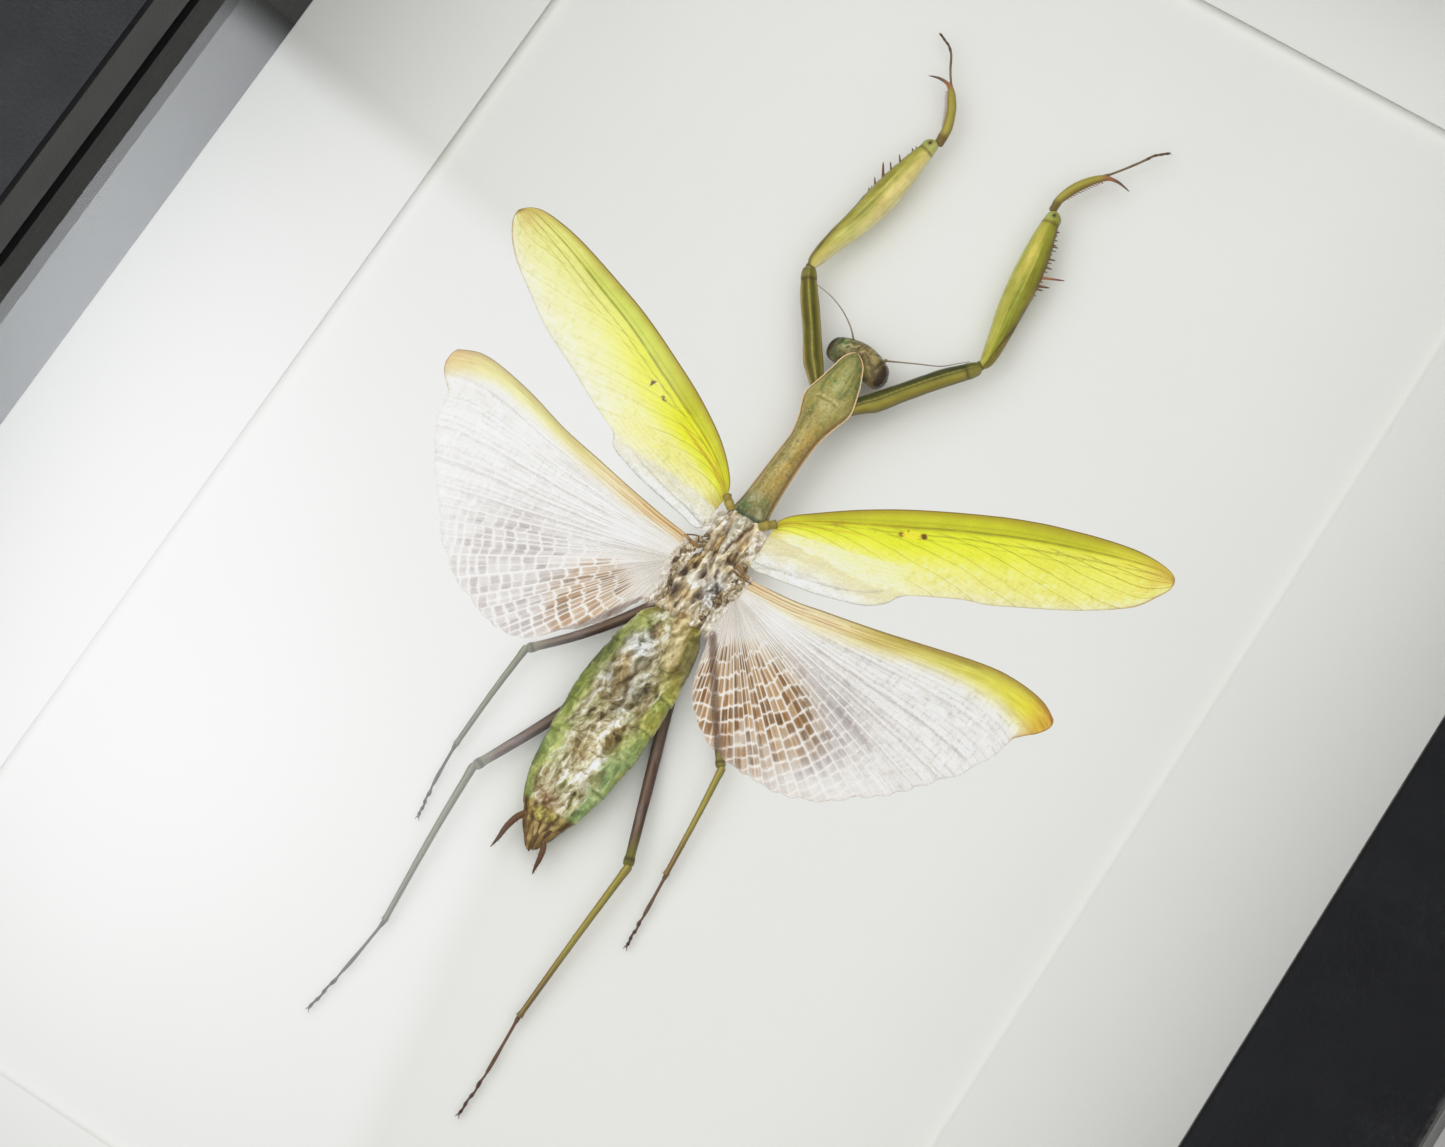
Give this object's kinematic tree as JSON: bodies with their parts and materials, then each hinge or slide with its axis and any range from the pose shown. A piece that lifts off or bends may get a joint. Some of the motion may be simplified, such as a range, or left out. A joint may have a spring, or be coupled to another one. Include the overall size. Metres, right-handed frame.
{
  "type": "framed praying mantis",
  "caption": "Black shadow-box frame with a glass front, a bevelled white window mat and a spread, dried praying mantis on the board behind it.",
  "frame": {"origin": "centre of the back face of the frame, which lies on its back", "axes": "+Z out of the glass, +Y along the long side towards the insect's head, +X to the right as seen from the front"},
  "size_m": [0.2452, 0.332, 0.0537],
  "materials": {
    "black_lacquer": "satin black lacquer on wood",
    "black_liner": "matte black paint",
    "glass": "clear float glass",
    "white_mat": "matte white, finely textured",
    "white_board": "matte white",
    "fibreboard": "pressed fibreboard",
    "steel": "zinc plated",
    "olive_shell": "satin insect shell, olive mottled with tan",
    "tan_thorax": "dried, wrinkled insect shell",
    "green_abdomen": "dried, crumpled glossy skin",
    "green_leg": "satin insect shell",
    "brown_leg": "satin insect shell",
    "forewing": "waxy leathery wing with fine veins",
    "hindwing": "clear folded wing with veins"
  },
  "bodies": {
    "root": {"abdomen": "green_abdomen", "antenna_left": "brown_leg", "antenna_right": "brown_leg", "back_panel": "fibreboard", "cercus_left": "brown_leg", "cercus_right": "brown_leg", "foreleg_left_coxa": "green_leg", "foreleg_left_femur": "green_leg", "foreleg_left_tarsus": "brown_leg", "foreleg_left_tibia": "green_leg", "foreleg_right_coxa": "green_leg", "foreleg_right_femur": "green_leg", "foreleg_right_tarsus": "brown_leg", "foreleg_right_tibia": "green_leg", "forewing_left": "forewing", "forewing_right": "forewing", "frame_rail_bottom": "black_lacquer", "frame_rail_left": "black_lacquer", "frame_rail_right": "black_lacquer", "frame_rail_top": "black_lacquer", "glass_pane": "glass", "hanger": "steel", "hanger_nail_left": "steel", "hanger_nail_right": "steel", "head": "olive_shell", "hindleg_left_femur": "brown_leg", "hindleg_left_tarsus": "brown_leg", "hindleg_left_tibia": "green_leg", "hindleg_right_femur": "brown_leg", "hindleg_right_tarsus": "brown_leg", "hindleg_right_tibia": "green_leg", "hindwing_left": "hindwing", "hindwing_right": "hindwing", "midleg_left_femur": "brown_leg", "midleg_left_tarsus": "brown_leg", "midleg_left_tibia": "green_leg", "midleg_right_femur": "brown_leg", "midleg_right_tarsus": "brown_leg", "midleg_right_tibia": "green_leg", "mounting_board": "white_board", "pronotum": "olive_shell", "pterothorax": "tan_thorax", "spacer_bottom": "black_liner", "spacer_left": "black_liner", "spacer_right": "black_liner", "spacer_top": "black_liner", "tab_bottom": "steel", "tab_left_lower": "steel", "tab_left_upper": "steel", "tab_right_lower": "steel", "tab_right_upper": "steel", "tab_top": "steel", "window_mat": "white_mat"}
  },
  "joints": []
}
